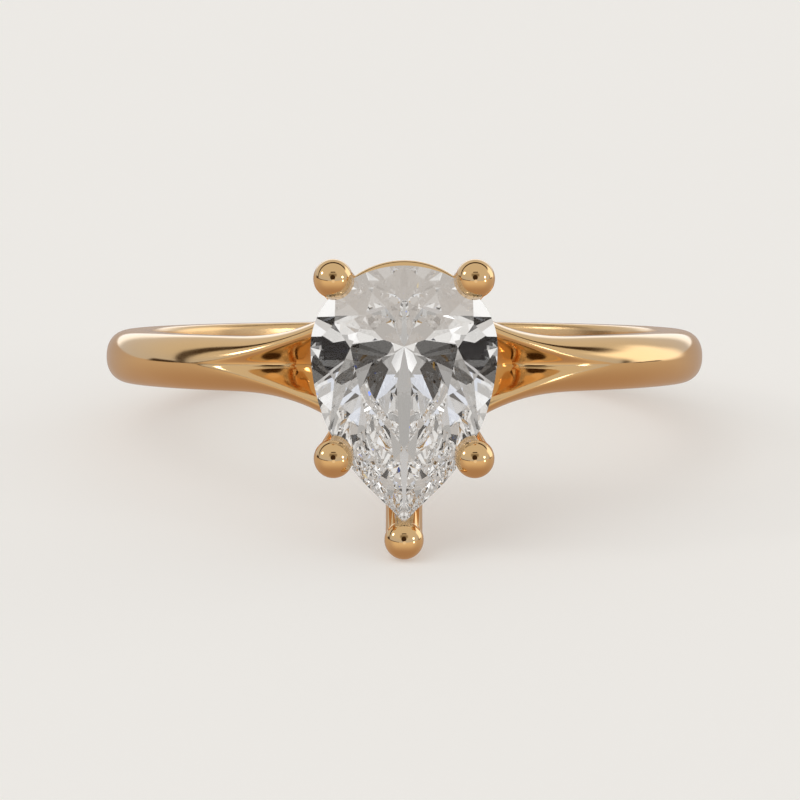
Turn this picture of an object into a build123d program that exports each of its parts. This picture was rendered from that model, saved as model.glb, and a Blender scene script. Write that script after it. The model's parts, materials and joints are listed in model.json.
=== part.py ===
"""Pear-cut solitaire ring with split shoulders, lying at rest on a level surface.

The ring is drawn upright in its own axes: X to the wearer's right across the head, -Y out through the
stone, Z along the finger. Every piece is then tilted about X by the angle at which the finished ring
rests on its point claw and on the back of its band. The origin stays at the centre of the finger hole.
All sizes are in millimetres.
"""

import os
from math import asin, atan2, cos, degrees, hypot, radians, sin, sqrt, tan

from build123d import *

# Finger hole and band
FINGER_RADIUS = 8.45  # US size 6 1/2
BAND_THICKNESS = 1.65
BAND_HALF_WIDTH = 0.885
CROWN_HEIGHT = 0.85  # the rounded outer part of the band's section
CROWN_POWER = 2.3  # 2 is an ellipse, and more is squarer
INNER_EDGE_RADIUS = 0.22
FINGER_LENGTH = 30.0  # longer than the ring is wide
ROOT_DEPTH = 0.4  # how far the arms are drawn into the finger hole before it is cut
PROFILE_STEPS = 10  # points along half a section's outer curve

# Split shoulders, by azimuth from the stone, in degrees
GROOVE_START = 46.0  # the band ends and the arms begin
FLARE_START = 40.0
FLARE_MARK = 14.3  # where the arms stand FLARE_SPREAD wider than the band
FLARE_SPREAD = 0.82
ARM_HALF_WIDTH = 0.36
ARM_SLIM_AT = 19.0  # where an arm has come down to its own width
VALLEY_START = 44.0
VALLEY_END = 20.0
VALLEY_DEPTH = 1.2
ARM_STATIONS = (46.0, 41.5, 37.0, 32.5, 28.0, 24.0, 20.0, 16.5, 13.0, 10.0)

# Stone: a pear brilliant whose flat top faces -Y
STONE_HALF_WIDTH = 2.92
STONE_ROUND_HEIGHT = 2.55  # from the widest line to the end of the round side
WIDEST_AT = 0.70  # height of the widest line above the band's middle
WING_RADIUS = 6.2
WING_SWEEP = 46.0  # degrees of arc before the side runs straight to the point
POINT_BLUNT = 0.15
GIRDLE_REACH = 12.3  # the girdle's middle, from the finger's axis
GIRDLE_THICKNESS = 0.14
CROWN_RISE = 0.86
PAVILION_DEPTH = 2.50
TABLE_SHARE = 0.57
UPPER_HALF_SHARE = 0.60  # how far the upper halves reach from the girdle towards the table
LOWER_HALF_SHARE = 0.77  # how far the lower halves reach from the girdle towards the culet
MAIN_PLACES = (47, 90, 115)  # main facets on the right side, as outline_point counts them
HALF_PLACES = (24, 69, 102, 133)  # where the half facets meet on the girdle, between the mains

# Claws: round wire with a bead at the tip
BEAD_RADIUS = 0.615
WIRE_RADIUS = 0.575
BEAD_REACH = 12.8
FOOT_REACH = 9.15
CLAWS = {  # the bead's (x, z), then the foot's
    "claw_top_left": ((-2.21, 2.85), (-1.48, 1.92)),
    "claw_top_right": ((2.21, 2.85), (1.48, 1.92)),
    "claw_side_left": ((-2.20, -2.745), (-1.48, -1.69)),
    "claw_side_right": ((2.20, -2.745), (1.48, -1.69)),
    "claw_point": ((0.0, -5.28), (0.0, -2.41)),
}

# Gallery rail: a wire loop under the girdle, let into the claws
RAIL_REACH = 10.95
RAIL_WIRE_RADIUS = 0.28
RAIL_ROUND_RADIUS = 2.42
RAIL_WING_RADIUS = 5.6
RAIL_POINT_RADIUS = 0.5

# Collar: the cup under the head, as (reach, half length along X, half width along Z)
COLLAR_OUTSIDE = ((7.4, 4.00, 1.45), (8.3, 3.60, 1.83), (9.2, 3.00, 2.42), (10.1, 2.35, 2.60))
COLLAR_INSIDE = ((7.0, 1.00, 0.90), (10.1, 1.75, 1.65))

OUTER_RADIUS = FINGER_RADIUS + BAND_THICKNESS
CROWN_BASE = OUTER_RADIUS - CROWN_HEIGHT


def smooth(share):
    """0 to 1 with level ends."""
    share = min(max(share, 0.0), 1.0)
    return share * share * (3 - 2 * share)


def crown_share(share):
    """How high the crown still stands, this share of the way from its crest to its side."""
    return max(0.0, 1 - share**CROWN_POWER) ** (1 / CROWN_POWER)


def half_width(azimuth):
    """From the band's middle plane to the outer side of the band, or of the arm where it has split."""
    spread = max(0.0, (FLARE_START - azimuth) / (FLARE_START - FLARE_MARK))
    return BAND_HALF_WIDTH + FLARE_SPREAD * spread**3


def crest_width(azimuth):
    """From the crest of the band, or of an arm, to its outer side."""
    slimming = smooth((GROOVE_START - azimuth) / (GROOVE_START - ARM_SLIM_AT))
    return BAND_HALF_WIDTH + (ARM_HALF_WIDTH - BAND_HALF_WIDTH) * slimming


def valley_depth(azimuth):
    """Depth of the crease between the arms, below their crests."""
    share = (VALLEY_START - azimuth) / (VALLEY_START - VALLEY_END)
    return VALLEY_DEPTH * min(max(share, 0.0), 1.0) ** 3


def finger():
    """The finger hole as a solid."""
    return Cylinder(FINGER_RADIUS, FINGER_LENGTH)


def section_plane(azimuth):
    """A plane through the finger's axis: its x runs out from the axis, and its y along the finger."""
    a = radians(azimuth)
    return Plane(origin=(0, 0, 0), x_dir=(sin(a), -cos(a), 0), z_dir=(-cos(a), -sin(a), 0))


def crown_points(steps):
    """The crown of the plain section as (reach, height), from its lower side to its upper side."""
    points = []
    for step in range(steps + 1):
        share = sin(radians(180 * step / steps - 90))
        reach = CROWN_BASE + CROWN_HEIGHT * crown_share(abs(share))
        points.append((reach, BAND_HALF_WIDTH * share))
    return points


def band():
    """The plain part of the shank, from one shoulder round the back to the other."""
    half, edge, bore = BAND_HALF_WIDTH, INNER_EDGE_RADIUS, FINGER_RADIUS
    turn = edge * (1 - sqrt(0.5))
    crown = Spline(*crown_points(2 * PROFILE_STEPS), tangents=[(1, 0), (-1, 0)])
    outline = [
        crown,
        Line((CROWN_BASE, half), (bore + edge, half)),
        ThreePointArc((bore + edge, half), (bore + turn, half - turn), (bore, half - edge)),
        Line((bore, half - edge), (bore, edge - half)),
        ThreePointArc((bore, edge - half), (bore + turn, turn - half), (bore + edge, -half)),
        Line((bore + edge, -half), (CROWN_BASE, -half)),
    ]
    profile = section_plane(GROOVE_START) * make_face(Wire(outline))
    return revolve(profile, axis=Axis.Z, revolution_arc=360 - 2 * GROOVE_START)


def arm_profile(azimuth):
    """Half of the split section: crease at the middle plane, up to the arm's crest, and down its side."""
    half = half_width(azimuth)
    width = crest_width(azimuth)
    crest = half - width
    points = []
    for step in range(PROFILE_STEPS + 1):
        across = half * sin(radians(90 * step / PROFILE_STEPS))
        if across < crest:
            reach = OUTER_RADIUS - valley_depth(azimuth) * (1 - (across / crest) ** 2) ** 2
        else:
            reach = CROWN_BASE + CROWN_HEIGHT * crown_share((across - crest) / width)
        points.append((reach, across))
    return points


def arm(side, level):
    """One arm of the split: side -1 is left and +1 right, level -1 is lower and +1 upper."""
    bore, root = FINGER_RADIUS, FINGER_RADIUS - ROOT_DEPTH
    edge = INNER_EDGE_RADIUS
    turn = edge * (1 - sqrt(0.5))
    faces = []
    for azimuth in ARM_STATIONS:
        crown = [(r, level * z) for r, z in arm_profile(azimuth)]
        half = half_width(azimuth)
        corner = [(bore + edge, half), (bore + turn, half - turn), (bore, half - edge)]
        corner = [(r, level * z) for r, z in corner]
        outline = [
            Spline(*crown, tangents=[(0, level), (-1, 0)]),
            Line(crown[-1], corner[0]),
            ThreePointArc(*corner),
            Line(corner[-1], (root, corner[-1][1])),
            Line((root, corner[-1][1]), (root, 0)),
            Line((root, 0), crown[0]),
        ]
        faces.append(section_plane(side * azimuth) * make_face(Wire(outline)))
    return loft(Sketch() + faces) - finger()


def outline_point(place):
    """A point of the stone's right side, and the outward direction there, seen from the front.

    place is an angle in degrees: 0 is the middle of the round end and 90 the widest line, and beyond
    90 it adds the sweep of the wing's arc.
    """
    a = radians(place)
    if place <= 90:
        point = (STONE_HALF_WIDTH * sin(a), WIDEST_AT + STONE_ROUND_HEIGHT * cos(a))
        outward = (STONE_ROUND_HEIGHT * sin(a), STONE_HALF_WIDTH * cos(a))
        length = hypot(*outward)
        return point, (outward[0] / length, outward[1] / length)
    a -= radians(90)
    centre = STONE_HALF_WIDTH - WING_RADIUS
    return (centre + WING_RADIUS * cos(a), WIDEST_AT - WING_RADIUS * sin(a)), (cos(a), -sin(a))


def tip_point():
    """The point of the pear before it is blunted, where the two straight sides meet."""
    (x, z), _ = outline_point(90 + WING_SWEEP)
    return (0.0, z - x / tan(radians(WING_SWEEP))), (0.0, -1.0)


def mirrored(point, outward):
    return (-point[0], point[1]), (-outward[0], outward[1])


def girdle_points():
    """Where the main facets touch the girdle, and where the half facets meet, going round the stone."""
    right = [outline_point(place) for place in MAIN_PLACES]
    mains = [outline_point(0), *right, tip_point(), *[mirrored(*p) for p in reversed(right)]]
    right = [outline_point(place) for place in HALF_PLACES]
    halves = [*right, *[mirrored(*p) for p in reversed(right)]]
    return mains, [point for point, _ in halves]


def facets(edge, top, table_share, meet_share):
    """Facets of one side of the stone as triples of points (x, z, height above the girdle's middle).

    edge is the girdle's height on this side, top the height of the table or culet, table_share the
    table's size beside the girdle's, and meet_share where the half facets start between girdle and top.
    """
    mains, halves = girdle_points()
    axis = (0.0, WIDEST_AT)
    apex = edge + (top - edge) / (1 - table_share)
    found = []
    slopes = []
    for (x, z), (nx, nz) in mains:
        reach = (x - axis[0]) * nx + (z - axis[1]) * nz
        slopes.append(((apex - edge) / reach * nx, (apex - edge) / reach * nz))
        found.append(((x, z, edge), (x - nz, z + nx, edge), (*axis, apex)))
    for i, half in enumerate(halves):
        j = (i + 1) % len(mains)
        across = (slopes[i][0] - slopes[j][0], slopes[i][1] - slopes[j][1])
        along = (-across[1], across[0])
        fall = slopes[i][0] * along[0] + slopes[i][1] * along[1]
        share = table_share + (1 - table_share) * (1 - meet_share)
        step = (apex - edge) / fall * share
        meet = (axis[0] + along[0] * step, axis[1] + along[1] * step, apex - (apex - edge) * share)
        for k in (i, j):
            found.append((meet, (*mains[k][0], edge), (*half, edge)))
        if table_share:
            corners = [
                tuple(a + (g - a) * table_share for a, g in zip(axis, mains[k][0])) for k in (i, j)
            ]
            found.append((meet, (*corners[0], top), (*corners[1], top)))
    return found


def stone_outline():
    """The pear seen from the front, drawn on the plane of the girdle."""
    (wing_x, wing_z), _ = outline_point(90 + WING_SWEEP)
    (mid_x, mid_z), _ = outline_point(90 + WING_SWEEP / 2)
    tip, _ = tip_point()
    outline = [
        EllipticalCenterArc(
            (0, WIDEST_AT), STONE_HALF_WIDTH, STONE_ROUND_HEIGHT, start_angle=0, arc_size=180
        ),
        ThreePointArc((-STONE_HALF_WIDTH, WIDEST_AT), (-mid_x, mid_z), (-wing_x, wing_z)),
        Line((-wing_x, wing_z), tip),
        Line(tip, (wing_x, wing_z)),
        ThreePointArc((wing_x, wing_z), (mid_x, mid_z), (STONE_HALF_WIDTH, WIDEST_AT)),
    ]
    face = make_face(Wire(outline))
    return fillet(face.vertices().sort_by(Axis.Y)[0], POINT_BLUNT)


def front_plane(reach):
    """A plane square to the head's axis: its x is X, its y is Z, and it faces out through the stone."""
    return Plane(origin=(0, -reach, 0), x_dir=(1, 0, 0), z_dir=(0, -1, 0))


def stone():
    """The pear brilliant: a prism of its outline, cut by one plane for each facet."""
    plane = front_plane(GIRDLE_REACH - PAVILION_DEPTH)
    gem = extrude(plane * stone_outline(), PAVILION_DEPTH + CROWN_RISE)
    middle = Vector(0, -GIRDLE_REACH, WIDEST_AT)
    edge = GIRDLE_THICKNESS / 2
    cuts = facets(edge, CROWN_RISE, TABLE_SHARE, UPPER_HALF_SHARE)
    cuts += facets(-edge, -PAVILION_DEPTH, 0.0, LOWER_HALF_SHARE)
    for cut in cuts:
        a, b, c = (Vector(x, -(GIRDLE_REACH + height), z) for x, z, height in cut)
        outward = (b - a).cross(c - a).normalized()
        if outward.dot(a - middle) < 0:
            outward = -outward
        gem = split(gem, bisect_by=Plane(origin=a, z_dir=outward), keep=Keep.BOTTOM)
    return gem


def room_over_stone():
    """The space in front of the stone, out to the claws' beads: the point claw's wire stays behind it."""
    return extrude(front_plane(GIRDLE_REACH) * stone_outline(), BEAD_REACH + BEAD_RADIUS - GIRDLE_REACH)


def claw(tip, root):
    """A straight round wire that leans in from its bead to a rounded foot on the collar."""
    bead = Vector(tip[0], -BEAD_REACH, tip[1])
    foot = Vector(root[0], -FOOT_REACH, root[1])
    run = bead - foot
    wire = Plane(origin=foot, z_dir=run) * extrude(Circle(WIRE_RADIUS), run.length)
    return wire + Pos(*bead) * Sphere(BEAD_RADIUS) + Pos(*foot) * Sphere(WIRE_RADIUS)


def gallery_rail():
    """A round wire bent to a pear: a half circle, two wings and a small arc at the point."""
    round_end, wing, point = RAIL_ROUND_RADIUS, RAIL_WING_RADIUS, RAIL_POINT_RADIUS
    wing_centre = (round_end - wing, WIDEST_AT)
    drop = sqrt((wing - point) ** 2 - wing_centre[0] ** 2)
    point_centre = (0.0, WIDEST_AT - drop)
    lean = atan2(drop, -wing_centre[0])
    join = (point * cos(lean), point_centre[1] - point * sin(lean))
    bow = (wing_centre[0] + wing * cos(lean / 2), WIDEST_AT - wing * sin(lean / 2))
    path = Wire(
        [
            ThreePointArc((round_end, WIDEST_AT), (0, WIDEST_AT + round_end), (-round_end, WIDEST_AT)),
            ThreePointArc((-round_end, WIDEST_AT), (-bow[0], bow[1]), (-join[0], join[1])),
            ThreePointArc((-join[0], join[1]), (0, point_centre[1] - point), join),
            ThreePointArc(join, bow, (round_end, WIDEST_AT)),
        ]
    )
    wire = Plane(origin=(round_end, WIDEST_AT, 0), z_dir=(0, 1, 0)) * Circle(RAIL_WIRE_RADIUS)
    return front_plane(RAIL_REACH) * sweep(wire, path=path)


def cup(levels):
    """A smooth solid through ellipses given as (reach, half length along X, half width along Z)."""
    return loft(Sketch() + [front_plane(reach) * Ellipse(a, b) for reach, a, b in levels])


def head_opening():
    """The daylight opening from the finger hole up through the collar to the stone's back."""
    return cup(COLLAR_INSIDE)


def resting_tilt():
    """The angle at which the point claw's bead and the back of the band touch one level plane."""
    low_edge = [(-reach, height) for reach, height in crown_points(180)]
    (_, bead_z), _ = CLAWS["claw_point"]
    tilt = 0.0
    for _ in range(20):
        reach, height = min(low_edge, key=lambda p: p[1] * cos(tilt) + p[0] * sin(tilt))
        span = hypot(BEAD_REACH - reach, bead_z - height)
        tilt = asin(BEAD_RADIUS / span) + atan2(height - bead_z, BEAD_REACH - reach)
    return degrees(tilt)


def pieces():
    """Every piece of the ring in its own axes, each cut to meet the ones before it face to face."""
    made = {"pear_stone": stone(), "gallery_rail": gallery_rail()}
    hollow = head_opening() + finger()
    for name, (tip, root) in CLAWS.items():
        made[name] = claw(tip, root) - made["pear_stone"] - made["gallery_rail"] - hollow
    made["claw_point"] -= room_over_stone()
    claws = [made[name] for name in CLAWS]
    made["head_collar"] = cup(COLLAR_OUTSIDE) - hollow - claws
    for side, side_name in ((-1, "left"), (1, "right")):
        for level, level_name in ((1, "upper"), (-1, "lower")):
            blank = arm(side, level) - hollow
            made[f"arm_{level_name}_{side_name}"] = blank - claws - made["head_collar"]
    made["band"] = band()
    return made


def main():
    os.makedirs("parts", exist_ok=True)
    tilt = resting_tilt()
    print(f"resting tilt {tilt:.3f} degrees")
    for name, piece in pieces().items():
        export_step(piece.rotate(Axis.X, -tilt), f"parts/{name}.step")


main()
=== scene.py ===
import json
from math import atan2, cos, hypot, pi, radians, sin, sqrt, tan

import bmesh
import bpy
import numpy as np
from mathutils import Matrix, Vector


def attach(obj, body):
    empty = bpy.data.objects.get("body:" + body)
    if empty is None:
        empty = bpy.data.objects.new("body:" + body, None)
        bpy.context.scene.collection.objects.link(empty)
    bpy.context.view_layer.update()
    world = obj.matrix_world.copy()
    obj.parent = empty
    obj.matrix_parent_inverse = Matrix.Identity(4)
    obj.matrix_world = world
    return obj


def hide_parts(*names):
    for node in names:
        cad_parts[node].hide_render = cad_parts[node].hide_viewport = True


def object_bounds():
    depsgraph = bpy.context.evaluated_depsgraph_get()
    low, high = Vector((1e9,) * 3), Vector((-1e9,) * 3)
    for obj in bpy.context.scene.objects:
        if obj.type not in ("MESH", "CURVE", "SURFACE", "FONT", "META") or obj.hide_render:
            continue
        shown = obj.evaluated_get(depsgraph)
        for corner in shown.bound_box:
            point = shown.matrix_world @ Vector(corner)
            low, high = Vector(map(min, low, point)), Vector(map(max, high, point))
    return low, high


# Looks of a pear-cut solitaire ring with split shoulders.
#
# The pieces are worked out in millimetres in the ring's own axes: X to the right across the head, -Y out
# through the stone and Z along the finger. to_frame() then tilts them into the frame, in metres.

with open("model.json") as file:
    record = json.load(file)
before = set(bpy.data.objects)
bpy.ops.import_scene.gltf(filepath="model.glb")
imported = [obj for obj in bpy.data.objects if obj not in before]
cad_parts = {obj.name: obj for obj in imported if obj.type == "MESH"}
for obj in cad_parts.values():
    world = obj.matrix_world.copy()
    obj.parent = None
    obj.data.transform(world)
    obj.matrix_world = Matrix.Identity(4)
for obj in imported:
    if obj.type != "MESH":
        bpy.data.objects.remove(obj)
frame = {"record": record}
CAD_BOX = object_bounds()
BORE = frame["record"]["mounts"][0]
MM = 0.001  # metres

# Finger hole and shank
FINGER_RADIUS = BORE["dims"]["r_mm"]
BAND_THICKNESS = 1.65
BAND_HALF_WIDTH = 0.885
CROWN_HEIGHT = 0.85
CROWN_POWER = 2.3  # 2 is an ellipse, and more is squarer
RIDGE_POWER = 1.75  # below 2 the crest is a soft ridge
RIDGE_START = 80.0  # the ridge begins to rise here, in degrees from the stone
RIDGE_FULL = 58.0
INNER_EDGE_RADIUS = 0.22
OUTER_RADIUS = FINGER_RADIUS + BAND_THICKNESS
CROWN_BASE = OUTER_RADIUS - CROWN_HEIGHT

# Split shoulders, by azimuth from the stone, in degrees
GROOVE_START = 46.0
FLARE_START = 40.0
FLARE_MARK = 14.3
FLARE_SPREAD = 0.82
ARM_HALF_WIDTH = 0.36
ARM_SLIM_AT = 19.0
VALLEY_START = 44.0
VALLEY_END = 20.0
VALLEY_DEPTH = 1.2
ARM_END = 10.0
ARM_STEP = 0.5  # degrees between sections
BAND_STEP = 1.0
CROWN_STEPS = 40  # points along half a section's outer curve
CORNER_STEPS = 6
SHARP_ANGLE = 15.0  # an edge that turns more than this, in degrees, is shaded sharp

# Stone
STONE_HALF_WIDTH = 2.92
STONE_ROUND_HEIGHT = 2.55
WIDEST_AT = 0.70
WING_RADIUS = 6.2
WING_SWEEP = 46.0
POINT_BLUNT = 0.15
GIRDLE_REACH = 12.3
GIRDLE_THICKNESS = 0.14
CROWN_RISE = 0.86
PAVILION_DEPTH = 2.50
TABLE_SHARE = 0.57
UPPER_HALF_SHARE = 0.60
LOWER_HALF_SHARE = 0.77
MAIN_PLACES = (47, 90, 115)
HALF_PLACES = (24, 69, 102, 133)
OUTLINE_STEP = 3  # degrees between the outline's points
POINT_STEPS = 4  # along half the blunted point

# Claws: bead (x, z), then foot (x, z)
BEAD_RADIUS = 0.615
WIRE_RADIUS = 0.575
BEAD_REACH = 12.8
FOOT_REACH = 9.15
CLAWS = {
    "claw_top_left": ((-2.21, 2.85), (-1.48, 1.92)),
    "claw_top_right": ((2.21, 2.85), (1.48, 1.92)),
    "claw_side_left": ((-2.20, -2.745), (-1.48, -1.69)),
    "claw_side_right": ((2.20, -2.745), (1.48, -1.69)),
    "claw_point": ((0.0, -5.28), (0.0, -2.41)),
}
STONE_SEAT_GAP = 0.01  # between a claw's notch and the stone
WIRE_SIDES = 72
WIRE_STEPS = 24
BEAD_STEPS = 36
FOOT_STEPS = 16

# Gallery rail
RAIL_REACH = 10.95
RAIL_WIRE_RADIUS = 0.28
RAIL_ROUND_RADIUS = 2.42
RAIL_WING_RADIUS = 5.6
RAIL_POINT_RADIUS = 0.5
RAIL_SIDES = 40
RAIL_ARC_STEPS = 40
RAIL_POINT_STEPS = 16

# Collar, as (reach, half length along X, half width along Z)
COLLAR_OUTSIDE = ((7.4, 4.00, 1.45), (8.3, 3.60, 1.83), (9.2, 3.00, 2.42), (10.1, 2.35, 2.60))
COLLAR_INSIDE = ((7.0, 1.00, 0.90), (10.1, 1.75, 1.65))
COLLAR_TURNS = 144  # lines round its wall
COLLAR_STEPS = 20  # points down each line
HALVINGS = 40  # of the search for where a line meets the finger hole

# Camera, in the ring's axes
CAMERA_DISTANCE = 150.0
CAMERA_RISE = 2.67  # degrees above the ring's middle plane
CAMERA_SWING = 0.1  # degrees to the right
AIM = (-0.15, 0.0, -1.52)
LENS = 198.5  # millimetres
SENSOR_WIDTH = 36.0
CLIP_NEAR, CLIP_FAR = 0.001, 20.0  # metres


# ---------------------------------------------------------------- placing


def to_frame():
    """From the ring's own axes in millimetres to the frame in metres."""
    tilt = atan2(BORE["axis"][1], BORE["axis"][2])
    return Matrix.Rotation(-tilt, 4, "X") @ Matrix.Diagonal((MM, MM, MM, 1.0))


TO_FRAME = to_frame()


def piece(name, mesh, material, slot, normals=None):
    """Puts a mesh drawn in the ring's axes into the frame, in place of the CAD node of its name."""
    mesh.transform(TO_FRAME)
    mesh.shade_smooth()
    if normals is None:
        mesh.set_sharp_from_angle(angle=radians(SHARP_ANGLE))
    else:
        turn = TO_FRAME.to_3x3()
        mesh.normals_split_custom_set_from_vertices([(turn @ Vector(n)).normalized() for n in normals])
    mesh.materials.append(material)
    obj = bpy.data.objects.new(name + "_fine", mesh)
    obj.visible_transmission = slot == "diamond"
    bpy.context.scene.collection.objects.link(obj)
    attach(obj, "root")
    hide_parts(name)
    return obj


def quads(count, width, joined):
    """Faces over a count of rows, each a closed ring of width points. The last row may join the first."""
    faces = []
    for i in range(count if joined else count - 1):
        for j in range(width):
            k, m = (i + 1) % count, (j + 1) % width
            faces.append((i * width + j, i * width + m, k * width + m, k * width + j))
    return faces


def solid_mesh(name, vertices, faces):
    """A closed mesh with all its faces turned outwards."""
    mesh = bpy.data.meshes.new(name)
    mesh.from_pydata(vertices, [], faces)
    work = bmesh.new()
    work.from_mesh(mesh)
    bmesh.ops.recalc_face_normals(work, faces=work.faces)
    work.to_mesh(mesh)
    work.free()
    return mesh


def ring_mesh(name, rows):
    """A closed mesh over rows of points that go round and meet."""
    return solid_mesh(name, [p for row in rows for p in row], quads(len(rows), len(rows[0]), True))


# ---------------------------------------------------------------- shank


def smooth(share):
    """0 to 1 with level ends."""
    share = min(max(share, 0.0), 1.0)
    return share * share * (3 - 2 * share)


def crown_power(azimuth):
    """The crown is round along the back and rises to a soft ridge at the shoulders."""
    share = smooth((azimuth - RIDGE_FULL) / (RIDGE_START - RIDGE_FULL))
    return RIDGE_POWER + (CROWN_POWER - RIDGE_POWER) * share


def crown_share(share, azimuth):
    """How high the crown still stands, this share of the way from its crest to its side."""
    power = crown_power(azimuth)
    return max(0.0, 1 - share**power) ** (1 / power)


def half_width(azimuth):
    """From the middle plane to the outer side of the band or arm."""
    spread = max(0.0, (FLARE_START - azimuth) / (FLARE_START - FLARE_MARK))
    return BAND_HALF_WIDTH + FLARE_SPREAD * spread**3


def crest_width(azimuth):
    """From the crest to the outer side."""
    slimming = smooth((GROOVE_START - azimuth) / (GROOVE_START - ARM_SLIM_AT))
    return BAND_HALF_WIDTH + (ARM_HALF_WIDTH - BAND_HALF_WIDTH) * slimming


def valley_depth(azimuth):
    """Depth of the crease between the arms, below their crests."""
    share = (VALLEY_START - azimuth) / (VALLEY_START - VALLEY_END)
    return VALLEY_DEPTH * min(max(share, 0.0), 1.0) ** 3


def half_section(azimuth):
    """Upper half of the shank's section as (reach, height), from the middle of its crown to its bore's."""
    half, width = half_width(azimuth), crest_width(azimuth)
    depth, crest = valley_depth(azimuth), half - width
    points = []
    for step in range(CROWN_STEPS + 1):
        across = half * sin(radians(90 * step / CROWN_STEPS))
        if across < crest:
            reach = OUTER_RADIUS - depth * (1 - (across / crest) ** 2) ** 2
        else:
            reach = CROWN_BASE + CROWN_HEIGHT * crown_share(min(1.0, (across - crest) / width), azimuth)
        points.append((reach, across))
    edge = INNER_EDGE_RADIUS
    middle = (FINGER_RADIUS + edge, half - edge)
    points.append(((CROWN_BASE + middle[0]) / 2, half))
    for step in range(CORNER_STEPS + 1):
        turn = radians(90 * step / CORNER_STEPS)
        points.append((middle[0] - edge * sin(turn), middle[1] + edge * cos(turn)))
    points.append((FINGER_RADIUS, middle[1] / 2))
    points.append((FINGER_RADIUS, 0.0))
    return points


def around(azimuth, reach, height):
    """The point at this azimuth, reach from the finger's axis and height along it."""
    a = radians(azimuth)
    return (reach * sin(a), -reach * cos(a), height)


def slope(before, here, after):
    """Tangent at here of the curve through three points that may be unevenly spaced."""
    d1, d2 = here - before, after - here
    h1 = np.maximum(np.linalg.norm(d1, axis=-1, keepdims=True), 1e-6)
    h2 = np.maximum(np.linalg.norm(d2, axis=-1, keepdims=True), 1e-6)
    return d2 * h1 / h2 + d1 * h2 / h1


def shank_grid(azimuths):
    """Points and normals of whole sections at these azimuths: (section, point, 3) arrays.

    Column 0 is the crown's middle, the first half of the columns is the upper side, and the middle column is
    the bore's middle.
    """
    step = azimuths[1] - azimuths[0]
    rows = []
    for azimuth in [azimuths[0] - step, *azimuths, azimuths[-1] + step]:
        upper = half_section(min(azimuth, 360 - azimuth))
        loop = upper + [(r, -z) for r, z in reversed(upper[1:-1])]
        rows.append([around(azimuth, r, z) for r, z in loop])
    grid = np.array(rows)
    points = grid[1:-1]
    along = slope(grid[:-2], points, grid[2:])
    across = slope(np.roll(points, 1, 1), points, np.roll(points, -1, 1))
    normals = np.cross(along, across)
    normals /= np.linalg.norm(normals, axis=-1, keepdims=True)
    return points, normals


def closed_shell(name, points, normals, material):
    """A piece of the shank from a grid of sections and their normals, with flat ends."""
    count, width, _ = points.shape
    faces = quads(count, width, False)
    faces.append(tuple(reversed(range(width))))
    faces.append(tuple((count - 1) * width + j for j in range(width)))
    mesh = solid_mesh(name, points.reshape(-1, 3).tolist(), faces)
    piece(name, mesh, material, "gold_shank", normals.reshape(-1, 3).tolist())


def shank(material):
    """The band and the four arms, cut from one surface so that their seams don't show."""
    steps = round((360 - 2 * GROOVE_START) / BAND_STEP)
    points, normals = shank_grid([GROOVE_START + BAND_STEP * i for i in range(steps + 1)])
    closed_shell("band", points, normals, material)
    steps = round((GROOVE_START - ARM_END) / ARM_STEP)
    points, normals = shank_grid([ARM_END + ARM_STEP * i for i in range(steps + 1)])
    half = points.shape[1] // 2 + 1
    points, normals = points[:, :half], normals[:, :half]
    for level, level_name in ((1, "upper"), (-1, "lower")):
        for side, side_name in ((1, "right"), (-1, "left")):
            flip = np.array((side, 1, level))
            closed_shell(f"arm_{level_name}_{side_name}", points * flip, normals * flip, material)


# ---------------------------------------------------------------- stone


def outline_point(place):
    """A point of the stone's right side, and the outward direction there.

    place is an angle in degrees: 0 is the middle of the round end and 90 the widest line, and beyond
    90 it adds the sweep of the wing's arc.
    """
    a = radians(place)
    if place <= 90:
        point = (STONE_HALF_WIDTH * sin(a), WIDEST_AT + STONE_ROUND_HEIGHT * cos(a))
        direction = (STONE_ROUND_HEIGHT * sin(a), STONE_HALF_WIDTH * cos(a))
        length = hypot(*direction)
        return point, (direction[0] / length, direction[1] / length)
    a -= radians(90)
    centre = STONE_HALF_WIDTH - WING_RADIUS
    return (centre + WING_RADIUS * cos(a), WIDEST_AT - WING_RADIUS * sin(a)), (cos(a), -sin(a))


def tip_point():
    """The point of the pear before it is blunted."""
    (x, z), _ = outline_point(90 + WING_SWEEP)
    return (0.0, z - x / tan(radians(WING_SWEEP))), (0.0, -1.0)


def mirrored(point, direction):
    """The same point and direction on the left side."""
    return (-point[0], point[1]), (-direction[0], direction[1])


def girdle_points():
    """Where the main facets touch the girdle, and where the half facets meet, going round the stone."""
    right = [outline_point(place) for place in MAIN_PLACES]
    mains = [outline_point(0), *right, tip_point(), *[mirrored(*p) for p in reversed(right)]]
    right = [outline_point(place) for place in HALF_PLACES]
    halves = [*right, *[mirrored(*p) for p in reversed(right)]]
    return mains, [point for point, _ in halves]


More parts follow.
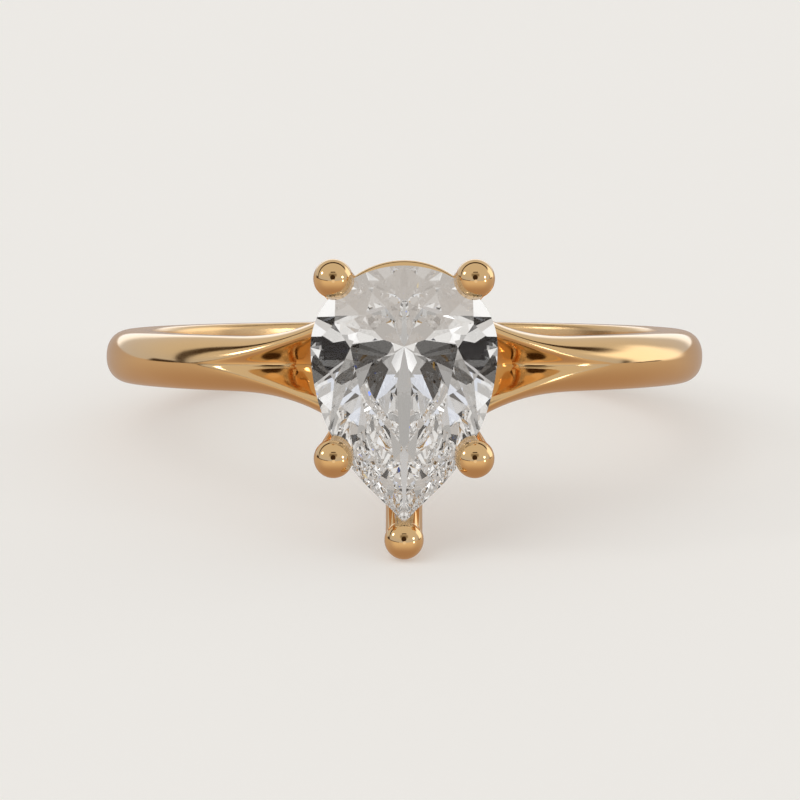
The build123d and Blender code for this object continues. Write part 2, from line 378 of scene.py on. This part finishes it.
def facets(edge, top, table_share, meet_share):
    """Facets of one side of the stone as triples of points (x, z, height above the girdle's middle)."""
    mains, halves = girdle_points()
    axis = (0.0, WIDEST_AT)
    apex = edge + (top - edge) / (1 - table_share)
    found = []
    slopes = []
    for (x, z), (nx, nz) in mains:
        reach = (x - axis[0]) * nx + (z - axis[1]) * nz
        slopes.append(((apex - edge) / reach * nx, (apex - edge) / reach * nz))
        found.append(((x, z, edge), (x - nz, z + nx, edge), (*axis, apex)))
    for i, half in enumerate(halves):
        j = (i + 1) % len(mains)
        across = (slopes[i][0] - slopes[j][0], slopes[i][1] - slopes[j][1])
        along = (-across[1], across[0])
        fall = slopes[i][0] * along[0] + slopes[i][1] * along[1]
        share = table_share + (1 - table_share) * (1 - meet_share)
        step = (apex - edge) / fall * share
        meet = (axis[0] + along[0] * step, axis[1] + along[1] * step, apex - (apex - edge) * share)
        for k in (i, j):
            found.append((meet, (*mains[k][0], edge), (*half, edge)))
        if table_share:
            corners = [
                tuple(a + (g - a) * table_share for a, g in zip(axis, mains[k][0])) for k in (i, j)
            ]
            found.append((meet, (*corners[0], top), (*corners[1], top)))
    return found


def pear_outline():
    """The stone's outline as (x, z) points, round the right side, the blunted point and the left side."""
    right = [outline_point(place)[0] for place in range(0, int(90 + WING_SWEEP) + 1, OUTLINE_STEP)]
    right.append(outline_point(90 + WING_SWEEP)[0])
    tip, _ = tip_point()
    lean = radians(WING_SWEEP)
    centre = tip[1] + POINT_BLUNT / sin(lean)
    turns = [lean + (pi / 2 - lean) * i / POINT_STEPS for i in range(POINT_STEPS + 1)]
    right += [(POINT_BLUNT * cos(a), centre - POINT_BLUNT * sin(a)) for a in turns]
    left = [(-x, z) for x, z in reversed(right[1:-1])]
    return right + left


def cut(solid, point, direction):
    """Cuts away the part of a convex solid beyond a plane and closes it with one facet."""
    geometry = solid.verts[:] + solid.edges[:] + solid.faces[:]
    made = bmesh.ops.bisect_plane(
        solid, geom=geometry, dist=1e-5, plane_co=point, plane_no=direction, clear_outer=True
    )
    rim = [e for e in made["geom_cut"] if isinstance(e, bmesh.types.BMEdge)]
    if rim:
        bmesh.ops.contextual_create(solid, geom=rim)


def outline_prism(back, front):
    """A bmesh prism of the stone's outline between two reaches."""
    outline = pear_outline()
    solid = bmesh.new()
    rings = [[solid.verts.new((x, -reach, z)) for x, z in outline] for reach in (back, front)]
    for i in range(len(outline)):
        j = (i + 1) % len(outline)
        solid.faces.new((rings[0][i], rings[0][j], rings[1][j], rings[1][i]))
    solid.faces.new(rings[0])
    solid.faces.new(rings[1])
    bmesh.ops.recalc_face_normals(solid, faces=solid.faces)
    return solid


def cut_gem(grow=0.0):
    """The pear brilliant as a bmesh, grown outwards by this much all over."""
    solid = outline_prism(GIRDLE_REACH - PAVILION_DEPTH - grow, GIRDLE_REACH + CROWN_RISE + grow)
    edge = GIRDLE_THICKNESS / 2
    middle = Vector((0, -GIRDLE_REACH, WIDEST_AT))
    for facet in facets(edge, CROWN_RISE, TABLE_SHARE, UPPER_HALF_SHARE) + facets(
        -edge, -PAVILION_DEPTH, 0.0, LOWER_HALF_SHARE
    ):
        a, b, c = (Vector((x, -(GIRDLE_REACH + height), z)) for x, z, height in facet)
        direction = (b - a).cross(c - a).normalized()
        if direction.dot(a - middle) < 0:
            direction = -direction
        cut(solid, a + direction * grow, direction)
    return solid


def stone(material):
    """The pear brilliant, with every facet shaded flat."""
    solid = cut_gem()
    mesh = bpy.data.meshes.new("pear_stone")
    solid.to_mesh(mesh)
    solid.free()
    gem = piece("pear_stone", mesh, material, "diamond")
    gem.data.shade_flat()


# ---------------------------------------------------------------- head


def claw_mesh(name, tip, root):
    """A round wire from a rounded foot in the collar to a bead on its end, turned about its own line."""
    bead = Vector((tip[0], -BEAD_REACH, tip[1]))
    foot = Vector((root[0], -FOOT_REACH, root[1]))
    length = (foot - bead).length
    run = (foot - bead).normalized()
    side = run.orthogonal().normalized()
    other = run.cross(side)
    join = sqrt(BEAD_RADIUS**2 - WIRE_RADIUS**2)
    last = pi / 2 + atan2(join, WIRE_RADIUS)
    profile = []
    for i in range(1, BEAD_STEPS + 1):
        a = last * i / BEAD_STEPS
        profile.append((-BEAD_RADIUS * cos(a), BEAD_RADIUS * sin(a)))
    for i in range(1, WIRE_STEPS + 1):
        profile.append((join + (length - join) * i / WIRE_STEPS, WIRE_RADIUS))
    for i in range(1, FOOT_STEPS):
        a = pi / 2 * i / FOOT_STEPS
        profile.append((length + WIRE_RADIUS * sin(a), WIRE_RADIUS * cos(a)))
    vertices = [bead - run * BEAD_RADIUS]
    for level, radius in profile:
        for j in range(WIRE_SIDES):
            turn = 2 * pi * j / WIRE_SIDES
            vertices.append(bead + run * level + (side * cos(turn) + other * sin(turn)) * radius)
    sole = len(vertices)
    vertices.append(bead + run * (length + WIRE_RADIUS))
    faces = []
    for j in range(WIRE_SIDES):
        m = (j + 1) % WIRE_SIDES
        faces.append((0, 1 + j, 1 + m))
        for i in range(len(profile) - 1):
            low, high = 1 + i * WIRE_SIDES, 1 + (i + 1) * WIRE_SIDES
            faces.append((low + j, high + j, high + m, low + m))
        faces.append((sole, sole - WIRE_SIDES + m, sole - WIRE_SIDES + j))
    return solid_mesh(name, vertices, faces)


def less(mesh, solid):
    """The mesh with a bmesh's solid taken away."""
    shape = bpy.data.meshes.new("cutter")
    solid.to_mesh(shape)
    solid.free()
    cutter = bpy.data.objects.new("cutter", shape)
    target = bpy.data.objects.new("target", mesh)
    for obj in (cutter, target):
        bpy.context.scene.collection.objects.link(obj)
    modifier = target.modifiers.new("notch", "BOOLEAN")
    modifier.operation = "DIFFERENCE"
    modifier.solver = "EXACT"
    modifier.object = cutter
    graph = bpy.context.evaluated_depsgraph_get()
    made = bpy.data.meshes.new_from_object(target.evaluated_get(graph))
    bpy.data.objects.remove(target)
    bpy.data.objects.remove(cutter)
    return made


def claws(material):
    """The five claws, each with a seat for the stone. The point claw's wire stays behind its front."""
    for name, (tip, root) in CLAWS.items():
        mesh = less(claw_mesh(name, tip, root), cut_gem(grow=STONE_SEAT_GAP))
        if name == "claw_point":
            mesh = less(mesh, outline_prism(GIRDLE_REACH, BEAD_REACH + BEAD_RADIUS))
        piece(name, mesh, material, "gold_head")


def rail_path():
    """Points of the gallery rail's centreline, with the outward direction in its plane at each."""
    wing_centre = (RAIL_ROUND_RADIUS - RAIL_WING_RADIUS, WIDEST_AT)
    drop = sqrt((RAIL_WING_RADIUS - RAIL_POINT_RADIUS) ** 2 - wing_centre[0] ** 2)
    lean = atan2(drop, -wing_centre[0])
    arcs = (
        ((0.0, WIDEST_AT), RAIL_ROUND_RADIUS, pi / 2, 0.0, RAIL_ARC_STEPS),
        (wing_centre, RAIL_WING_RADIUS, 0.0, -lean, RAIL_ARC_STEPS),
        ((0.0, WIDEST_AT - drop), RAIL_POINT_RADIUS, -lean, -pi / 2, RAIL_POINT_STEPS),
    )
    right = []
    for (cx, cz), radius, start, end, steps in arcs:
        for i in range(steps):
            a = start + (end - start) * i / steps
            right.append(((cx + radius * cos(a), cz + radius * sin(a)), (cos(a), sin(a))))
    right.append(((0.0, WIDEST_AT - drop - RAIL_POINT_RADIUS), (0.0, -1.0)))
    return right + [mirrored(*p) for p in reversed(right[1:-1])]


def gallery_rail(material):
    """A round wire bent along rail_path()."""
    rows = []
    for (x, z), (nx, nz) in rail_path():
        ring = []
        for j in range(RAIL_SIDES):
            a = 2 * pi * j / RAIL_SIDES
            out, rise = RAIL_WIRE_RADIUS * cos(a), RAIL_WIRE_RADIUS * sin(a)
            ring.append((x + nx * out, -RAIL_REACH - rise, z + nz * out))
        rows.append(ring)
    piece("gallery_rail", ring_mesh("gallery_rail", rows), material, "gold_head")


def cup_size(levels, reach):
    """Half length and half width of a lofted cup at this reach, by a smooth curve through its levels."""
    reaches = [level[0] for level in levels]
    sizes = []
    for k in (1, 2):
        values = [level[k] for level in levels]
        fit = np.polyfit(reaches, values, len(levels) - 1)
        sizes.append(float(np.polyval(fit, reach)))
    return sizes


def cup_row(levels, angle, top):
    """A line down the cup's wall at this angle, from its top to the finger hole."""

    def at(reach):
        a, b = cup_size(levels, reach)
        return Vector((a * cos(angle), -reach, b * sin(angle)))

    low, high = FINGER_RADIUS * 0.5, top
    for _ in range(HALVINGS):
        middle = (low + high) / 2
        point = at(middle)
        if hypot(point.x, point.y) > FINGER_RADIUS:
            high = middle
        else:
            low = middle
    return [tuple(at(top + (high - top) * i / COLLAR_STEPS)) for i in range(COLLAR_STEPS + 1)]


def head_collar(material):
    """The cup that joins the claws' feet to the arms, open through its middle."""
    top = COLLAR_OUTSIDE[-1][0]
    rows = []
    for i in range(COLLAR_TURNS):
        angle = 2 * pi * i / COLLAR_TURNS
        rows.append(cup_row(COLLAR_OUTSIDE, angle, top) + cup_row(COLLAR_INSIDE, angle, top)[::-1])
    piece("head_collar", ring_mesh("head_collar", rows), material, "gold_head")


# ---------------------------------------------------------------- materials


class Nodes:
    """A short way to write node trees. Colours are given as red, green and blue."""

    def __init__(self, tree):
        self.tree = tree
        tree.nodes.clear()

    def add(self, kind, _out=0, **inputs):
        """A node of this kind with its inputs set or linked; the answer is its output socket."""
        node = self.tree.nodes.new("ShaderNode" + kind)
        for key, value in inputs.items():
            self.put(node.inputs[key.replace("_", " ")], value)
        return node.outputs[_out]

    def put(self, socket, value):
        if isinstance(value, bpy.types.NodeSocket):
            self.tree.links.new(value, socket)
        elif socket.type == "RGBA":
            socket.default_value = (*value, 1)
        else:
            socket.default_value = value

    def math(self, operation, *values, clamp=False):
        node = self.tree.nodes.new("ShaderNodeMath")
        node.operation = operation
        node.use_clamp = clamp
        for socket, value in zip(node.inputs, values):
            self.put(socket, value)
        return node.outputs[0]

    def vector(self, operation, *values):
        """A vector calculation; the answer is its outputs, "Vector" and "Value"."""
        node = self.tree.nodes.new("ShaderNodeVectorMath")
        node.operation = operation
        for socket, value in zip(node.inputs, values):
            self.put(socket, value)
        return node.outputs

    def dot(self, vector, direction):
        return self.vector("DOT_PRODUCT", vector, direction)["Value"]

    def ramp(self, value, low, high, to_low=0.0, to_high=1.0):
        """A smooth step from to_low at low to to_high at high."""
        node = self.tree.nodes.new("ShaderNodeMapRange")
        node.interpolation_type = "SMOOTHSTEP"
        for socket, v in zip(node.inputs, (value, low, high, to_low, to_high)):
            self.put(socket, v)
        return node.outputs[0]

    def mix(self, factor, a, b):
        """Colour a where the factor is 0 and b where it is 1."""
        node = self.tree.nodes.new("ShaderNodeMix")
        node.data_type = "RGBA"
        self.put(node.inputs["Factor"], factor)
        self.put(node.inputs[6], a)
        self.put(node.inputs[7], b)
        return node.outputs[2]

    def noise(self, vector, scale, detail):
        return self.add("TexNoise", Vector=vector, Scale=scale, Detail=detail, Roughness=0.5)

    def object_place(self):
        return self.add("TexCoord", _out=3)


def new_material(name):
    material = bpy.data.materials.new(name)
    material.use_nodes = True
    nodes = Nodes(material.node_tree)
    out = material.node_tree.nodes.new("ShaderNodeOutputMaterial")
    return material, nodes, out


GOLD_COLOUR = (0.84, 0.57, 0.29)
CLOUD_SHARE = 0.97  # brightness of the cloudier patches beside the rest
CLOUD_SCALE, CLOUD_DETAIL = 0.8, 3.0  # scales are for places in millimetres
CLOUD_RANGE = (0.3, 0.75)
GLOSS_SPREAD = 0.2  # how much the roughness varies about its middle
GRAIN_SCALE, GRAIN_DETAIL = 28.0, 2.0
GRAIN_STRENGTH = 0.02
GRAIN_DEPTH = 0.00001  # metres
SHANK_GLOSS = 0.11  # roughness
HEAD_GLOSS = 0.05
BORE_GLOSS = 0.26
BORE_SKIN = 0.05  # the finger hole's own roughness begins to give way this far above its wall
DIAMOND_INDEX = 2.42
GLINT_SHARE = 0.12  # share of the light meeting the stone that a plain glass surface would treat
PAPER_LIGHT = (0.655, 0.637, 0.606)
PAPER_DARK = (0.645, 0.627, 0.596)
PAPER_SCALE, PAPER_DETAIL = 60.0, 4.0
PAPER_ROUGHNESS = 0.9
# The paper's glow is painted fill light, which lifts the shadows under the ring.
PAPER_PAINTED_FILL = (1.0, 0.97, 0.93)
PAPER_PAINTED_FILL_STRENGTH = 0.31


def polished_gold(name, gloss):
    """Polished gold, a little cloudier where cloths have worn it and softer where the finger wears it."""
    material, nodes, out = new_material(name)
    place = nodes.vector("MULTIPLY", nodes.object_place(), (1 / MM,) * 3)["Vector"]
    cloud = nodes.noise(place, CLOUD_SCALE, CLOUD_DETAIL)
    grain = nodes.noise(place, GRAIN_SCALE, GRAIN_DETAIL)
    colour = nodes.mix(cloud, GOLD_COLOUR, tuple(c * CLOUD_SHARE for c in GOLD_COLOUR))
    spread = gloss * GLOSS_SPREAD
    roughness = nodes.ramp(cloud, *CLOUD_RANGE, gloss - spread, gloss + spread)
    across = nodes.vector("CROSS_PRODUCT", place, Vector(BORE["axis"]))["Vector"]
    from_axis = nodes.vector("LENGTH", across)["Value"]
    bore = nodes.ramp(
        from_axis, FINGER_RADIUS + BORE_SKIN, FINGER_RADIUS + INNER_EDGE_RADIUS, BORE_GLOSS, 0.0
    )
    bump = nodes.add("Bump", Strength=GRAIN_STRENGTH, Distance=GRAIN_DEPTH, Height=grain)
    shader = nodes.add(
        "BsdfPrincipled",
        Base_Color=colour,
        Metallic=1.0,
        Roughness=nodes.math("MAXIMUM", roughness, bore),
        Normal=bump,
    )
    nodes.put(out.inputs["Surface"], shader)
    return material


def diamond():
    """Colourless diamond. Light that enters passes a coated face, and inside it every face reflects fully."""
    material, nodes, out = new_material("diamond")
    look = {"Color": (1, 1, 1), "Roughness": 0.0, "IOR": DIAMOND_INDEX}
    clear = nodes.add("BsdfRefraction", **look)
    glass = nodes.add("BsdfGlass", **look)
    inside = nodes.add("NewGeometry", _out=6)
    whole = nodes.tree.nodes.new("ShaderNodeMixShader")
    for socket, value in zip(whole.inputs, (nodes.math("MAXIMUM", inside, GLINT_SHARE), clear, glass)):
        nodes.put(socket, value)
    nodes.put(out.inputs["Surface"], whole.outputs[0])
    return material


def pale_paper():
    """Matt paper with a faint even glow: painted fill light that lifts the ring's shadows on it."""
    material, nodes, out = new_material("pale_paper")
    mottle = nodes.noise(nodes.object_place(), PAPER_SCALE, PAPER_DETAIL)
    shader = nodes.add(
        "BsdfPrincipled",
        Base_Color=nodes.mix(mottle, PAPER_LIGHT, PAPER_DARK),
        Roughness=PAPER_ROUGHNESS,
        Emission_Color=PAPER_PAINTED_FILL,
        Emission_Strength=PAPER_PAINTED_FILL_STRENGTH,
    )
    nodes.put(out.inputs["Surface"], shader)
    return material


# ---------------------------------------------------------------- set


def direction_of(azimuth, elevation):
    """A direction by degrees to the right of the camera's side and degrees above level."""
    a, e = radians(azimuth), radians(elevation)
    return Vector((sin(a) * cos(e), -cos(a) * cos(e), sin(e)))


def disc(nodes, ray, azimuth, elevation, radius, edge):
    """How much of a ray meets a round lamp: its radius and soft edge are in degrees."""
    depth = nodes.dot(ray, direction_of(azimuth, elevation))
    return nodes.ramp(depth, cos(radians(radius + edge)), cos(radians(radius - edge)))


def card(nodes, ray, azimuth, elevation, width, height, edge):
    """How much of a ray meets an upright rectangular card: half sizes and soft edge are in degrees."""
    centre = direction_of(azimuth, elevation)
    right = Vector((-centre.y, centre.x, 0)).normalized()
    up = right.cross(centre)
    depth = nodes.math("MAXIMUM", nodes.dot(ray, centre), BESIDE / 2)
    share = nodes.math("GREATER_THAN", depth, BESIDE)
    for axis, size in ((right, width), (up, height)):
        offset = nodes.math("ABSOLUTE", nodes.math("DIVIDE", nodes.dot(ray, axis), depth))
        inside = nodes.ramp(offset, tan(radians(size + edge)), tan(radians(max(size - edge, 0))))
        share = nodes.math("MULTIPLY", share, inside)
    return share


BESIDE = 0.02  # a ray with less than this of its length towards a card's centre misses it
# What the polished gold mirrors. Angles are in degrees: azimuth to the right of the camera's side, and
# elevation. A blend gives where one colour begins to turn into the next and where it has, as the height of
# a ray of length 1, or as how far such a ray goes towards the camera's side.
WALL_LOW = (0.61, 0.64, 0.72)
WALL_HIGH = (0.71, 0.69, 0.65)
WALL_BLEND = (0.0, 0.6)
FLOOR_FRONT = (0.84, 0.72, 0.56)
FLOOR_SIDE = (0.61, 0.51, 0.42)
FLOOR_BACK = (0.50, 0.42, 0.37)
FLOOR_BELOW = (0.47, 0.33, 0.24)
BACK_TO_SIDE_BLEND = (-0.95, -0.5)
SIDE_TO_FRONT_BLEND = (0.0, 0.7)
BELOW_BLEND = (-0.95, -0.1)
HORIZON_BLEND = (-0.015, 0.015)
DARK = (0.05, 0.03, 0.015)
SHADE = (0.30, 0.27, 0.22)
# A hoop's edge is the rise of its axis on the camera's side, the angle from that axis, and its softness.
ARCH_INSIDE = (25, 91, 1)
ARCH_OUTSIDE = (34, 94, 1)
BACKLIGHT_FROM = (15, 146, 4)
BACKLIGHT = (1.25, 1.35, 1.5)
CARDS = (
    # azimuth, elevation, half width, half height, edge, colour
    (118, 14, 18, 17, 5, (1.45, 1.42, 1.38)),  # softbox behind on the right
    (-107, 2, 9, 4, 2, DARK),  # doorway on the left
    (-65, 0.5, 36, 1.4, 1.2, DARK),  # skirting on the left
    (107, -2, 9, 2, 1.5, DARK),  # doorway on the right
    (0, 36, 22, 9, 6, SHADE),  # the camera and what holds it
    (1, 52, 13, 3, 1.5, DARK),
)
LAMPS = (
    # azimuth, elevation, radius, edge, colour
    (-1, 21, 15, 2, DARK),
    (2, -1, 9, 2, (0.95, 0.90, 0.85)),
    (-82, 29, 5, 1.5, (8, 8, 8)),
    (61, 15, 4.5, 1.5, (8, 8, 8)),
    (60, -4, 4, 1.5, (5, 5, 4.6)),
)
# What shows through the stone, by the same measures
GEM_WALL = (0.42, 0.405, 0.385)
GEM_CEILING = (0.56, 0.545, 0.53)
GEM_HORIZON = (0.80, 0.78, 0.75)
GEM_FLOOR = (0.50, 0.46, 0.42)
GEM_CEILING_BLEND = (0.75, 0.95)
GEM_HORIZON_BLEND = (0.20, 0.08)
GEM_FLOOR_BLEND = (-0.20, -0.45)
GEM_CARDS = (
    # azimuth, elevation, half width, half height, edge, colour
    (-26, -3, 9, 7, 3, (1.05, 1.04, 1.02)),  # low windows either side of the camera
    (26, -3, 9, 7, 3, (1.05, 1.04, 1.02)),
    (-52, 46, 9, 8, 3, (0.95, 0.95, 0.95)),  # softboxes
    (52, 46, 9, 8, 3, (0.95, 0.95, 0.95)),
    (0, 63, 16, 8, 4, (0.74, 0.77, 0.84)),  # skylight
    (-74, 8, 5, 30, 3, (0.06, 0.06, 0.06)),  # stands
    (74, 8, 5, 30, 3, (0.06, 0.06, 0.06)),
    (0, 22, 14, 27, 4, (0.012, 0.009, 0.007)),  # the camera and what holds it
)
GEM_LAMPS = (
    # azimuth, elevation, radius, edge, colour
    (-34, 30, 3, 1, (3, 3, 3)),
    (34, 30, 3, 1, (3, 3, 3)),
    (-17, -30, 3, 1, (2.2, 2.2, 2.2)),
    (-48, 14, 2.5, 1, (0.15, 0.35, 1.6)),
    (27, 52, 2.5, 1, (0.2, 0.4, 1.6)),
    (62, 30, 2.5, 1, (1.6, 1.1, 0.1)),
    (-28, -52, 2.5, 1, (1.6, 0.9, 0.2)),
)
# What lights the sheet under the ring
SKY_EDGE = (0.58, 0.58, 0.58)
SKY_TOP = (1.5, 1.5, 1.5)
SKY_TOWARDS = (-60, 52)
SKY_SPREAD = (0.75, 1.0)
FLOOR_SIZE = 3.0


def with_lights(nodes, ray, colour, cards, lamps):
    """The colour with cards and then lamps over it."""
    for *shape, light in cards:
        colour = nodes.mix(card(nodes, ray, *shape), colour, light)
    for *shape, light in lamps:
        colour = nodes.mix(disc(nodes, ray, *shape), colour, light)
    return colour


def gold_surroundings(nodes, ray, height):
    """Pale walls, a warm floor below, softboxes, small lamps and dark flags."""

    def beyond(hoop):
        """How much of a ray passes outside a hoop."""
        rise, angle, edge = hoop
        depth = nodes.dot(ray, direction_of(0, rise))
        return nodes.ramp(depth, cos(radians(angle - edge)), cos(radians(angle + edge)))

    towards = nodes.dot(ray, (0, -1, 0))
    below = nodes.mix(nodes.ramp(towards, *BACK_TO_SIDE_BLEND), FLOOR_BACK, FLOOR_SIDE)
    below = nodes.mix(nodes.ramp(towards, *SIDE_TO_FRONT_BLEND), below, FLOOR_FRONT)
    below = nodes.mix(nodes.ramp(height, *BELOW_BLEND), FLOOR_BELOW, below)
    above = nodes.mix(nodes.ramp(height, *WALL_BLEND), WALL_LOW, WALL_HIGH)
    arch = nodes.math("SUBTRACT", beyond(ARCH_INSIDE), beyond(ARCH_OUTSIDE), clamp=True)
    above = nodes.mix(arch, above, DARK)
    above = nodes.mix(beyond(BACKLIGHT_FROM), above, BACKLIGHT)
    colour = nodes.mix(nodes.ramp(height, *HORIZON_BLEND), below, above)
    return with_lights(nodes, ray, colour, CARDS, LAMPS)


def stone_surroundings(nodes, ray, height):
    """A grey room with windows, softboxes and small coloured lamps, dark where the camera stands."""
    colour = nodes.mix(nodes.ramp(height, *GEM_CEILING_BLEND), GEM_WALL, GEM_CEILING)
    colour = nodes.mix(nodes.ramp(height, *GEM_HORIZON_BLEND), colour, GEM_HORIZON)
    colour = nodes.mix(nodes.ramp(height, *GEM_FLOOR_BLEND), colour, GEM_FLOOR)
    return with_lights(nodes, ray, colour, GEM_CARDS, GEM_LAMPS)


def studio():
    """The light round the ring: one room for the gold, one for the stone, and a soft sky for the floor."""
    world = bpy.data.worlds.new("studio")
    bpy.context.scene.world = world
    world.use_nodes = True
    nodes = Nodes(world.node_tree)
    ray = nodes.add("TexCoord")
    height = nodes.dot(ray, (0, 0, 1))
    path = nodes.tree.nodes.new("ShaderNodeLightPath")
    gold, stone_room = gold_surroundings(nodes, ray, height), stone_surroundings(nodes, ray, height)
    sky = nodes.mix(nodes.ramp(nodes.dot(ray, direction_of(*SKY_TOWARDS)), *SKY_SPREAD), SKY_EDGE, SKY_TOP)
    colour = nodes.mix(path.outputs["Is Transmission Ray"], gold, stone_room)
    colour = nodes.mix(path.outputs["Is Diffuse Ray"], colour, sky)
    background = nodes.add("Background", Color=colour, Strength=1.0)
    out = world.node_tree.nodes.new("ShaderNodeOutputWorld")
    nodes.put(out.inputs["Surface"], background)


def floor(material):
    """A pale sheet under the ring. Polished gold and the stone mirror the studio's own floor instead."""
    corners = ((-1, -1), (1, -1), (1, 1), (-1, 1))
    mesh = bpy.data.meshes.new("floor")
    mesh.from_pydata([(x * FLOOR_SIZE, y * FLOOR_SIZE, CAD_BOX[0].z) for x, y in corners], [], [(0, 1, 2, 3)])
    mesh.materials.append(material)
    obj = bpy.data.objects.new("floor", mesh)
    obj.visible_glossy = False
    obj.visible_transmission = False
    bpy.context.scene.collection.objects.link(obj)


def camera():
    """A long lens, nearly level with the ring and looking at the stone."""
    rise, swing = radians(CAMERA_RISE), radians(CAMERA_SWING)
    back = Vector((sin(swing) * cos(rise), -cos(swing) * cos(rise), sin(rise)))
    data = bpy.data.cameras.new("camera")
    data.lens = LENS
    data.sensor_width = SENSOR_WIDTH
    data.clip_start, data.clip_end = CLIP_NEAR, CLIP_FAR
    obj = bpy.data.objects.new("camera", data)
    obj.location = TO_FRAME @ (Vector(AIM) + back * CAMERA_DISTANCE)
    turn = TO_FRAME.to_3x3() @ back
    obj.rotation_mode = "QUATERNION"
    obj.rotation_quaternion = turn.normalized().to_track_quat("Z", "Y")
    bpy.context.scene.collection.objects.link(obj)
    bpy.context.scene.camera = obj


def light_paths():
    """Enough bounces for light to find its way out of the stone, and plain colours."""
    scene = bpy.context.scene
    scene.cycles.max_bounces = 48
    scene.cycles.glossy_bounces = 48
    scene.cycles.transmission_bounces = 16
    scene.cycles.diffuse_bounces = 4
    scene.view_settings.view_transform = "Standard"


shank_gold = polished_gold("gold_shank", SHANK_GLOSS)
head_gold = polished_gold("gold_head", HEAD_GLOSS)
camera()
studio()
light_paths()
floor(pale_paper())
shank(shank_gold)
head_collar(head_gold)
gallery_rail(head_gold)
claws(head_gold)
stone(diamond())
